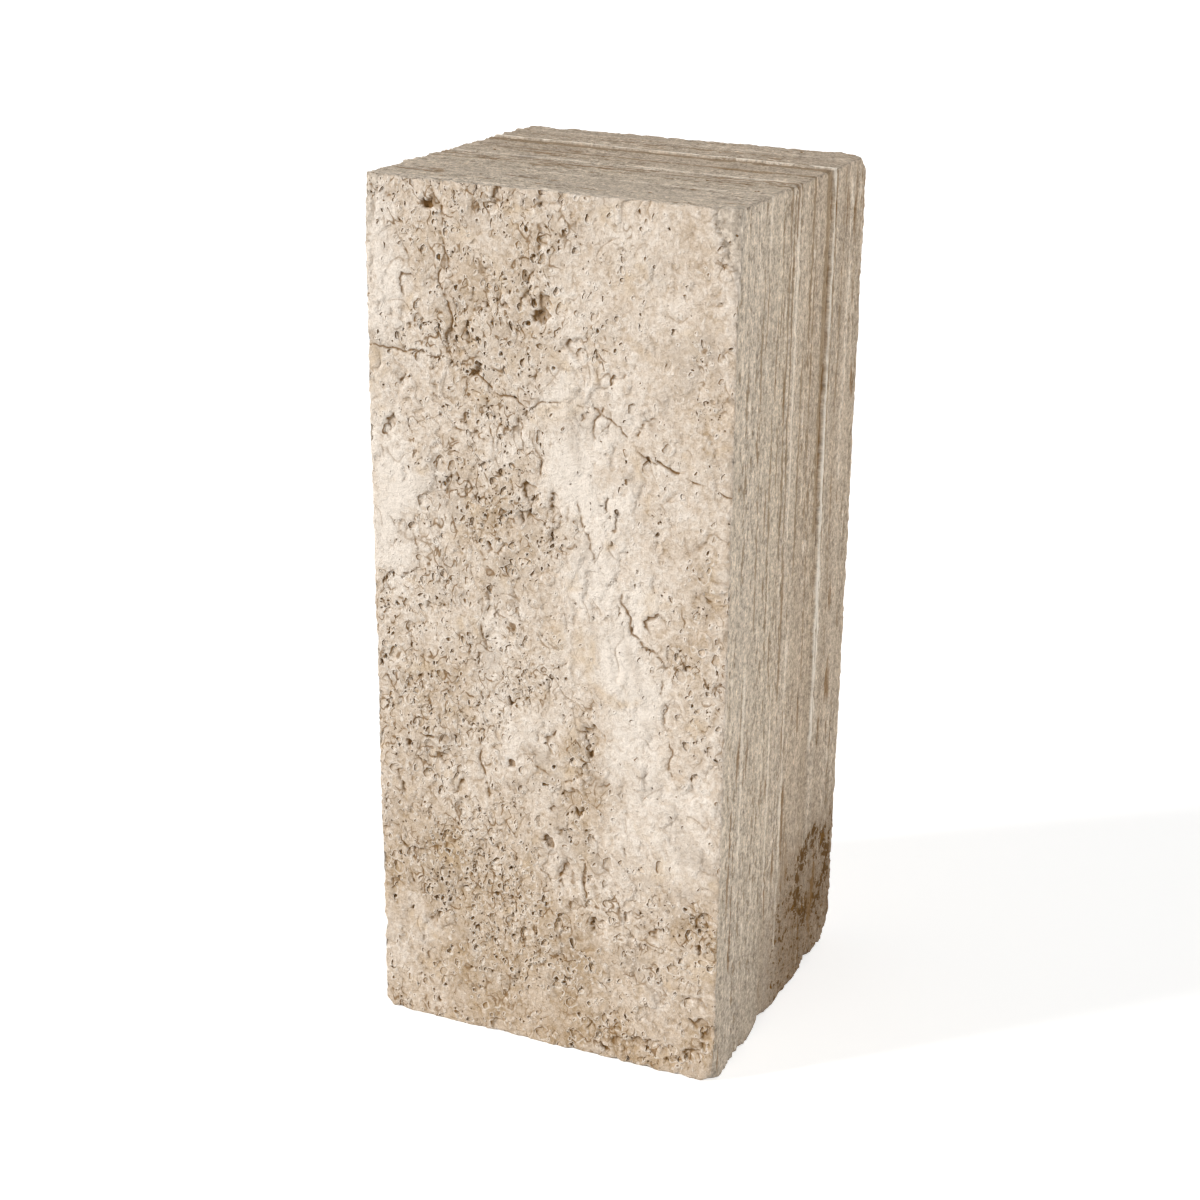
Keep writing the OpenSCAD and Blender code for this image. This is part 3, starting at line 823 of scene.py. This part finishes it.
def place_marks(mesh, places):
    """Stores what is placed on the front: depth carved, crowding of pits and tone."""
    front = places[:, 1] < LOW.y + 8 * MM
    across, up = ((places[front, axis] - LOW[axis]) / MM for axis in (0, 2))
    (hollow, soil_and_shadow), (crack, dropped) = hollows(across, up), cracks(across, up)
    lost, cliff_shadow = spalls(across, up)
    marks = {
        "carved": (np.maximum(np.maximum(hollow, crack), dropped) + lost) * MM,
        "crowd": soft_patches(across, up, CROWDED),
        "tone": soft_patches(across, up, PALE_AND_DARK),
        # Painted shadow on the hollows' upper-left walls and along the cliffs, with darker hollow floors
        # and cracks
        "soil_and_shadow": np.maximum(np.maximum(soil_and_shadow, smooth(crack / 0.9)), cliff_shadow),
        "spall": smooth(lost / 1.2),
        "cut_along": None,
    }
    for name, values in marks.items():
        whole = np.zeros(len(places), dtype=np.float32)
        if values is None:
            whole[HALF.y - np.abs(places[:, 1] - MIDDLE.y) < 1e-5] = 1.0
        else:
            whole[front] = values
        mesh.attributes.new(name, "FLOAT", "POINT").data.foreach_set("value", whole)


# ---------------------------------------------------------------- finish
# Colour of the layers on a sawn face, by distance behind the front in mm
LAYERS = (
    # The palest stops near the front are partly the front's cream skin and partly painted light, lifting
    # the worn arris that the key lamp misses
    (0, (0.88, 0.765, 0.635)), (2.5, (0.78, 0.665, 0.54)), (6, (0.66, 0.555, 0.435)),
    (30, (0.65, 0.550, 0.440)), (52, (0.60, 0.500, 0.390)),
    (90, (0.63, 0.525, 0.405)), (104, (0.52, 0.415, 0.305)), (112, (0.63, 0.520, 0.405)),
    (135, (0.59, 0.480, 0.365)), (150, (0.50, 0.390, 0.280)), (172, (0.53, 0.415, 0.305)),
    (188, (0.44, 0.335, 0.230)), (201, (0.48, 0.380, 0.280)), (206, (0.60, 0.495, 0.385)),
    (214, (0.53, 0.430, 0.325)), (222, (0.46, 0.355, 0.255)), (234, (0.50, 0.395, 0.290)),
    (246, (0.56, 0.450, 0.340)), (258, (0.51, 0.405, 0.300)), (282, (0.48, 0.375, 0.270)),
)


# Colours of single marks, and how dull the stone is
FRESH_BREAK = (0.61, 0.53, 0.44)
# Painted highlight laid on the proud rims of the pits
RIM_HIGHLIGHT = (0.90, 0.81, 0.71, 1.0)
RUST = (0.66, 0.50, 0.33, 1.0)
# Dull weathered tone for the sawn faces, laid on more thickly on the top as painted shade
WEATHERED_AND_TOP_SHADE = (0.535, 0.448, 0.358, 1.0)
PALE_LAYER = (0.84, 0.755, 0.645, 1.0)
DARK_LAYER = (0.33, 0.232, 0.138, 1.0)
ROTTEN_GROUND = (0.22, 0.135, 0.068, 1.0)
DECAY = (0.115, 0.056, 0.014, 1.0)
ROUGHNESS = 0.90
GLOSS = 0.03


def shader_group(name, takes, gives):
    """An empty node group for materials, its graph and its two ends."""
    tree = bpy.data.node_groups.new(name, "ShaderNodeTree")
    kinds = {"colour": "NodeSocketColor", "place": "NodeSocketVector", "number": "NodeSocketFloat"}
    for end, sockets in (("INPUT", takes), ("OUTPUT", gives)):
        for label, kind in sockets:
            tree.interface.new_socket(label, in_out=end, socket_type=kinds[kind])
    g = Graph(tree)
    return tree, g, g.node("NodeGroupInput"), g.node("NodeGroupOutput")


def grain_group():
    """Uneven patches, specks and sand of the stone, at three sizes."""
    tree, g, start, end = shader_group(
        "Stone grain", (("Place", "place"),),
        (("Mottle", "number"), ("Speck", "number"), ("Sand", "number")))
    rest = Place(g, start.outputs["Place"])
    g.feed(end.inputs["Mottle"], g.noise(rest, 0.0065, 3.0, 0.68, turn=42))
    g.feed(end.inputs["Speck"], g.noise(rest, 0.0030, 2.0, 0.55, turn=47))
    g.feed(end.inputs["Sand"], g.noise(rest, 0.0014, 1.0, 0.6, turn=46))
    return tree


def wear_and_shade_group():
    """Fresh breaks, grit, and dirt with painted shade and shadow, over a stone's colour."""
    tree, g, start, end = shader_group(
        "Stone wear and shade",
        (("Colour", "colour"), ("Broken", "number"), ("Dirt and shade", "number"), ("Dirt and shade colour", "colour"),
         ("Mottle", "number"), ("Speck", "number"), ("Sand", "number")),
        (("Colour", "colour"),))
    colour, dirt_and_shade_colour = (Place(g, start.outputs[name]) for name in ("Colour", "Dirt and shade colour"))
    broken, dirt_and_shade, mottle, speck, sand = (
        Number(g, start.outputs[name]) for name in ("Broken", "Dirt and shade", "Mottle", "Speck", "Sand"))
    break_colour = g.scale(g.join(*FRESH_BREAK), 1.0 + mottle * 0.8 + speck * 0.5)
    colour = g.blend(broken * 0.6, colour, break_colour)
    colour = g.scale(colour, 1.0 + sand * 0.16 + speck * 0.14)
    g.feed(end.inputs["Colour"], g.blend(dirt_and_shade.ramp(0.1, 0.95, 0.0, 0.92), colour, dirt_and_shade_colour))
    return tree


def stone_finish(name, grain):
    """A material with the stone's grain in it: its graph, the rest place and the grain's three sizes."""
    finish = bpy.data.materials.new(name)
    finish.use_nodes = True
    finish.node_tree.nodes.clear()
    g = Graph(finish.node_tree)
    rest = g.read("rest", vector=True)
    texture = g.node("ShaderNodeGroup", node_tree=grain)
    g.feed(texture.inputs["Place"], rest)
    return finish, g, rest, [Number(g, texture.outputs[size]) for size in ("Mottle", "Speck", "Sand")]


def finish_off(g, colour, dirt_and_shade, dirt_and_shade_colour, height, grain):
    """Wears and dirties the colour and lays painted shade and shadow on it, and joins it and the fine
    relief to a shader.
    """
    wear = g.node("ShaderNodeGroup", node_tree=bpy.data.node_groups.get("Stone wear and shade") or wear_and_shade_group())
    mottle, speck, sand = grain
    for name, value in (("Colour", colour), ("Broken", g.read("broken")), ("Dirt and shade", dirt_and_shade),
                        ("Dirt and shade colour", (*dirt_and_shade_colour, 1.0)), ("Mottle", mottle), ("Speck", speck),
                        ("Sand", sand)):
        g.feed(wear.inputs[name], value)
    bump = g.node("ShaderNodeBump")
    bump.inputs["Strength"].default_value = 1.0
    bump.inputs["Distance"].default_value = 1.0
    g.feed(bump.inputs["Height"], height + sand * 0.00030 + speck * 0.00060 + mottle * 0.0005)
    shader = g.node("ShaderNodeBsdfPrincipled")
    g.feed(shader.inputs["Base Color"], Place(g, wear.outputs["Colour"]))
    g.feed(shader.inputs["Roughness"], ROUGHNESS + speck * 0.06)
    shader.inputs["Specular IOR Level"].default_value = GLOSS
    g.tree.links.new(bump.outputs[0], shader.inputs["Normal"])
    g.tree.links.new(shader.outputs[0], g.node("ShaderNodeOutputMaterial").inputs["Surface"])


def bed_finish(stone):
    """Cream and tan clouds, pores darkened by dirt and painted shade, painted shadow on pit walls and at
    flake drops, painted highlight on pit rims, and curled lines, on a face that lies along the bed.
    """
    texture = bpy.data.node_groups.get("Stone grain") or grain_group()
    finish, g, rest, (mottle, speck, sand) = stone_finish("Travertine along the bed", texture)
    _, _, up = rest.split()
    crowd, hollow = g.read("crowd"), g.read("hollow")
    cream, beige, tan, grey = (
        (*colour, 1.0) for colour in (stone.cream, stone.beige, stone.tan, stone.grey))
    wander = g.drift(rest, 0.05, 0.024, 0.0, turn=40)
    cloud = g.noise(wander * (1.0, 1.0, 0.5), 0.050, 4.0, 0.68, turn=41)
    foot = up.ramp(0.32, 0.0, 0.0, 0.40)
    # The hollow term darkens hollows as painted shade and lightens proud ground; the tone also darkens
    # toward the foot
    tone = (g.read("tone") * 0.7 + cloud * 1.15 + mottle * 0.95 + speck * 0.55 + sand * 0.35 - foot
            - hollow * 0.5 - crowd * 0.25 + 0.26)
    face = g.blend(tone.ramp(-0.05, 0.85, smooth=False), beige, cream)
    face = g.blend((tone * -1.0).ramp(0.0, 1.0, smooth=False), face, tan)
    ashen = g.noise(wander * (1.0, 1.0, 0.7), 0.034, 2.0, 0.6, turn=43).ramp(0.0, 0.45, 0.0, 0.5)
    face = g.blend(ashen, face, grey)
    rusty = g.noise(wander, 0.030, 2.0, 0.6, turn=44).ramp(0.10, 0.5, 0.0, 0.55)
    face = g.blend(rusty, face, RUST)
    _, fine, dirt_and_shade, rim_and_highlight = front_pores(g, rest, crowd)
    # Painted highlight on the proud rims of the pits
    face = g.blend(rim_and_highlight * 0.75, face, RIM_HIGHLIGHT)
    _, _, _, flake_drop_shadow, small_drop_shadow, worms = flaking_skins(g, rest)
    share = crowd.ramp(0.0, 0.6, 0.35, 0.8)
    # Painted shadow lines at the flake drops, joined with the curled hair cracks
    drop_shadows_and_cracks = (flake_drop_shadow * share).most(small_drop_shadow * share * 0.35).most(worms * 0.5)
    # Painted shadow on the placed hollows' walls and at the cliffs, with darker hollow floors and cracks
    soil_and_shadow = g.read("soil_and_shadow")
    # The hollow term adds painted shade and dirt in the hollows
    dirt_and_shade = dirt_and_shade.most(soil_and_shadow).most(drop_shadows_and_cracks) * 0.9 + hollow.ramp(0.35, 1.8) * 0.4
    height = (fine * 0.9 + soil_and_shadow * 0.0005) * -1.0
    finish_off(g, face, dirt_and_shade, stone.dirt_and_shade, height, (mottle, speck, sand))
    return finish


def sawn_finish(stone):
    """Grey and brown layers, the open seam and the rotten foot, on a face sawn across the bed, with the
    top painted darker as shade.
    """
    texture = bpy.data.node_groups.get("Stone grain") or grain_group()
    finish, g, rest, (mottle, speck, sand) = stone_finish("Travertine across the bed", texture)
    across, back, up = rest.split()
    _, fine, dirt_and_shade, lip, rotten, ring, behind, tones = sawn_relief(g, rest, stone.seam_back)
    beds, streaks, strokes, hairs = tones
    ramp = g.node("ShaderNodeValToRGB")
    stops = ramp.color_ramp.elements
    while len(stops) < len(LAYERS):
        stops.new(0.5)
    for stop, (place, colour) in zip(stops, LAYERS):
        stop.position = place / LAYERS[-1][0]
        stop.color = (*colour, 1.0)
    g.feed(ramp.inputs[0], behind.ramp(-HALF.y, HALF.y, smooth=False))
    # lid marks the top face: the stain on it is real, while its darker, duller colour is painted shade
    lid = up.ramp(HIGH.z - 0.0025, HIGH.z - 0.0005)
    (stain_across, stain_back), stain_radius = STAIN
    from_stain = ((across - stain_across) ** 2.0 + (back - stain_back) ** 2.0) ** 0.5
    stain = (1.0 - from_stain / stain_radius).ramp(0.0, 0.5) * lid
    blotch = g.noise(rest * (0.6, 1.0, 0.5), 0.022, 3.0, 0.64, turn=53)
    marked = veins(behind, up)
    # The hollow term darkens the sawn faces' hollows as painted shade
    shade = (0.965 + beds * 0.10 + streaks * 0.44 + strokes * 0.44 + hairs * 0.05 + mottle * 0.50
             + speck * 0.52 + sand * 0.24 + blotch * (0.12 + lid * 0.14) + marked * 0.34
             - stain * 0.28 - g.read("hollow") * 0.15).most(0.25)
    low = up.ramp(0.22, 0.0, 1.0, 0.78)
    # The extra share on the top, and the dimming below, are painted shade on the top face
    layer = g.blend(lid * 0.20 + 0.36, Place(g, ramp.outputs[0]), WEATHERED_AND_TOP_SHADE)
    side = g.scale(layer, shade * low * (1.0 - lid * 0.04))
    pale = (streaks * 0.7 + strokes + marked + mottle * 0.2).ramp(0.26, 0.42, 0.0, 0.50)
    pale = pale.most(lip * (0.90 + mottle * 0.5)).least(0.95)
    side = g.blend(pale, side, PALE_LAYER)
    dark = (streaks * -0.7 - strokes - marked * 1.1 - mottle * 0.3).ramp(0.22, 0.46, 0.0, 0.70)
    side = g.blend(dark, side, DARK_LAYER)
    side = g.blend(rotten * mottle.ramp(-0.5, 0.5, 0.35, 1.0) * 0.88, side, ROTTEN_GROUND)
    decay = (mottle + speck * 0.6 + ring * 0.40 - 0.12).ramp(0.0, 0.18) * rotten.ramp(0.10, 0.6)
    side = g.blend(decay * 0.9, side, DECAY)
    finish_off(g, side, dirt_and_shade, stone.dirt_and_shade, fine * -0.4, (mottle, speck, sand))
    return finish


# ---------------------------------------------------------------- making the piece
def plain_copy(piece):
    """The piece's mesh with its modifiers worked in."""
    graph = bpy.context.evaluated_depsgraph_get()
    return bpy.data.meshes.new_from_object(piece.evaluated_get(graph))


def weather(piece, stone, finishes):
    tree, sizes = weathering_tree(stone, finishes)
    carve = piece.modifiers.new("Weather", "NODES")
    carve.node_group = tree
    for name, value in relief_sizes(stone):
        carve[sizes[name]] = value
    piece.data = plain_copy(piece)
    piece.modifiers.clear()


# The sides that keep more of their points when the stone is thinned out: facing axis, its end, share
CLOSER_SIDES = ((1, LOW, 0.8), (0, HIGH, 0.55), (2, HIGH, 0.55))
# Whatever is carved deeper than this keeps all its points
PLACED_MARK = 0.3 * MM


def thin_out(piece, triangles):
    """Drops the points that the relief doesn't need, and more of them on the plainer sides."""
    places = np.empty(len(piece.data.vertices) * 3)
    piece.data.attributes["rest"].data.foreach_get("vector", places)
    places = places.reshape(-1, 3)
    keep = np.zeros(len(places))
    for axis, corner, share in CLOSER_SIDES:
        keep = np.maximum(keep, share * (np.abs(places[:, axis] - corner[axis]) < MM))
    carved = np.empty(len(places))
    piece.data.attributes["carved"].data.foreach_get("value", carved)
    keep[carved > PLACED_MARK] = 1.0
    group = piece.vertex_groups.new(name="Plain")
    for share in np.unique(keep):
        group.add(np.flatnonzero(keep == share).tolist(), 1.0 - 0.9 * float(share), "REPLACE")
    thin = piece.modifiers.new("Thin out", "DECIMATE")
    thin.ratio = triangles / (2 * len(piece.data.polygons))
    thin.vertex_group = group.name
    thin.vertex_group_factor = 0.003
    piece.data = plain_copy(piece)
    piece.modifiers.clear()
    places = np.empty(len(piece.data.vertices) * 3)
    piece.data.vertices.foreach_get("co", places)
    inside = np.clip(places.reshape(-1, 3), np.array(LOW), np.array(HIGH))
    piece.data.vertices.foreach_set("co", inside.ravel())
    piece.data.update()


# Where each side of the block lies on the flat map: facing axis and end, map axes, scale per metre,
# corner on the map
FLAT_MAP = (
    (1, -1, (0, 2), 1.20, (0.010, 0.145)), (0, 1, (1, 2), 0.98, (0.385, 0.010)),
    (2, 1, (0, 1), 0.98, (0.385, 0.710)), (1, 1, (0, 2), 0.69, (0.700, 0.010)),
    (0, -1, (1, 2), 0.69, (0.700, 0.505)), (2, -1, (0, 1), 0.42, (0.010, 0.010)),
)


def unfold(mesh):
    """A flat map with one island for each side of the block."""
    corners = np.empty(len(mesh.loops), dtype=np.int32)
    mesh.loops.foreach_get("vertex_index", corners)
    places = np.empty(len(mesh.vertices) * 3)
    mesh.vertices.foreach_get("co", places)
    places = places.reshape(-1, 3)[corners]
    normals = np.empty(len(mesh.polygons) * 3)
    mesh.polygons.foreach_get("normal", normals)
    totals = np.empty(len(mesh.polygons), dtype=np.int32)
    mesh.polygons.foreach_get("loop_total", totals)
    middles = np.add.reduceat(places, np.r_[0, np.cumsum(totals)[:-1]]) / totals[:, None]
    # A wall inside a pit faces sideways, so a face's side is chosen by its place first
    from_middle = np.abs(middles - np.array(MIDDLE)) - np.array(HALF)
    votes = from_middle / 0.004 + np.abs(normals.reshape(-1, 3)) * 0.8
    axis = np.repeat(np.argmax(votes, axis=1), totals)
    end = np.where(np.repeat(middles, totals, axis=0)[np.arange(len(axis)), axis]
                   > np.array(MIDDLE)[axis], 1, -1)
    flat = np.zeros((len(corners), 2))
    for side_axis, side_end, (u, v), scale, corner in FLAT_MAP:
        here = (axis == side_axis) & (end == side_end)
        flat[here, 0] = corner[0] + (places[here, u] - LOW[u]) * scale
        flat[here, 1] = corner[1] + (places[here, v] - LOW[v]) * scale
    mesh.uv_layers.new(name="OFBake").data.foreach_set("uv", flat.ravel())


class PEDESTAL_OT_block(bpy.types.Operator):
    """Make the travertine block that stands for the frame's solid"""
    bl_idname = "pedestal.block"
    bl_label = "Travertine block"

    def execute(self, context):
        stone = context.scene.pedestal_stone
        mesh, places = sawn_block(stone.pitch * (1))
        place_marks(mesh, places)
        piece = bpy.data.objects.new("Travertine_block", mesh)
        context.scene.collection.objects.link(piece)
        weather(piece, stone, (sawn_finish(stone), bed_finish(stone)))
        thin_out(piece, stone.triangles)
        piece.data.shade_smooth()
        unfold(piece.data)
        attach(piece, "root")
        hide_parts("block")
        return {"FINISHED"}


# ---------------------------------------------------------------- stage
def seen_directly(tree):
    """A graph of the tree, and 1 where a ray comes from the camera, a reflection or a clear body."""
    g = Graph(tree)
    path = g.node("ShaderNodeLightPath")
    seen = g.math("MAXIMUM", Number(g, path.outputs["Is Camera Ray"]),
                  g.math("MAXIMUM", Number(g, path.outputs["Is Glossy Ray"]),
                         Number(g, path.outputs["Is Transmission Ray"])))
    return g, seen


def make_world(sky):
    world = bpy.data.worlds.new("Studio")
    bpy.context.scene.world = world
    world.use_nodes = True
    tree = world.node_tree
    tree.nodes.clear()
    g, seen = seen_directly(tree)
    back = g.node("ShaderNodeBackground")
    back.inputs["Color"].default_value = (1.0, 1.0, 1.0, 1.0)
    g.feed(back.inputs["Strength"], g.blend(seen, float(sky), 1.0))
    tree.links.new(back.outputs[0], g.node("ShaderNodeOutputWorld").inputs["Surface"])


FLOOR_HALF = 40.0
FLOOR_PAINT = (0.86, 0.86, 0.85, 1.0)
FLOOR_GLOW = 0.55


def make_floor():
    """A pale floor that keeps the block's shadow and is white to the camera elsewhere."""
    size = FLOOR_HALF
    mesh = bpy.data.meshes.new("Floor")
    mesh.from_pydata([(-size, -size, 0), (size, -size, 0), (size, size, 0), (-size, size, 0)], [],
                     [(0, 1, 2, 3)])
    floor = bpy.data.objects.new("Floor", mesh)
    bpy.context.scene.collection.objects.link(floor)
    paint = bpy.data.materials.new("Pale floor")
    paint.use_nodes = True
    tree = paint.node_tree
    tree.nodes.clear()
    g, seen = seen_directly(tree)
    diffuse = g.node("ShaderNodeBsdfDiffuse")
    diffuse.inputs["Color"].default_value = FLOOR_PAINT
    glow = g.node("ShaderNodeEmission")
    g.feed(glow.inputs["Strength"], seen * FLOOR_GLOW)
    both = g.node("ShaderNodeAddShader")
    tree.links.new(diffuse.outputs[0], both.inputs[0])
    tree.links.new(glow.outputs[0], both.inputs[1])
    tree.links.new(both.outputs[0], g.node("ShaderNodeOutputMaterial").inputs["Surface"])
    mesh.materials.append(paint)


# Where each lamp shines from, and how wide it looks in degrees
KEY_LAMP = ((-0.90, -0.75, 0.58), 9)
FILL_LAMP = ((0.93, -0.25, 0.30), 50)
REAR_LAMP = ((0.25, 0.90, 0.20), 40)


def make_lamp(name, place, spread, strength):
    """A soft sun: its direction is from place to the block's middle."""
    sun = bpy.data.lights.new(name, "SUN")
    sun.energy = strength
    sun.angle = math.radians(spread)
    lamp = bpy.data.objects.new(name, sun)
    lamp.rotation_euler = Vector(place).to_track_quat("Z", "Y").to_euler()
    lamp.location = Vector(place) * 2
    bpy.context.scene.collection.objects.link(lamp)


def make_camera(studio):
    a, t, r = studio.azimuth, studio.tilt, studio.roll
    ahead = Vector((-math.sin(a) * math.cos(t), math.cos(a) * math.cos(t), -math.sin(t)))
    level = Vector((math.cos(a), math.sin(a), 0))
    upright = level.cross(ahead)
    right = level * math.cos(r) + upright * math.sin(r)
    up = right.cross(ahead)
    lens = bpy.data.cameras.new("Camera")
    lens.lens = studio.lens
    lens.sensor_width = 36
    lens.shift_x = studio.shift_x
    lens.shift_y = studio.shift_y
    camera = bpy.data.objects.new("Camera", lens)
    turn = Matrix((right, up, -ahead)).transposed().to_4x4()
    camera.matrix_world = Matrix.Translation(Vector(studio.eye)) @ turn
    bpy.context.scene.collection.objects.link(camera)
    bpy.context.scene.camera = camera


class PEDESTAL_OT_stage(bpy.types.Operator):
    """Make the floor, the lamps, the sky and the camera"""
    bl_idname = "pedestal.stage"
    bl_label = "Stage"

    def execute(self, context):
        studio = context.scene.pedestal_studio
        make_world(studio.sky)
        make_floor()
        make_lamp("Key", *KEY_LAMP, studio.key)
        make_lamp("Fill", *FILL_LAMP, studio.fill)
        make_lamp("Rear", *REAR_LAMP, studio.rear)
        make_camera(studio)
        context.scene.view_settings.view_transform = "Standard"
        return {"FINISHED"}


class PEDESTAL_PT_panel(bpy.types.Panel):
    bl_label = "Pedestal"
    bl_idname = "PEDESTAL_PT_panel"
    bl_space_type = "VIEW_3D"
    bl_region_type = "UI"
    bl_category = "Pedestal"

    def draw(self, context):
        for settings, operator in ((context.scene.pedestal_stone, PEDESTAL_OT_block),
                                   (context.scene.pedestal_studio, PEDESTAL_OT_stage)):
            box = self.layout.box()
            for name in settings.__annotations__:
                box.prop(settings, name)
            box.operator(operator.bl_idname)


CLASSES = (StoneSettings, StudioSettings, PEDESTAL_OT_block, PEDESTAL_OT_stage, PEDESTAL_PT_panel)


def register():
    for each in CLASSES:
        bpy.utils.register_class(each)
    bpy.types.Scene.pedestal_stone = PointerProperty(type=StoneSettings)
    bpy.types.Scene.pedestal_studio = PointerProperty(type=StudioSettings)


def unregister():
    del bpy.types.Scene.pedestal_studio
    del bpy.types.Scene.pedestal_stone
    for each in reversed(CLASSES):
        bpy.utils.unregister_class(each)


def main():
    register()
    bpy.ops.pedestal.block()
    bpy.ops.pedestal.stage()


if __name__ == "__main__":
    main()
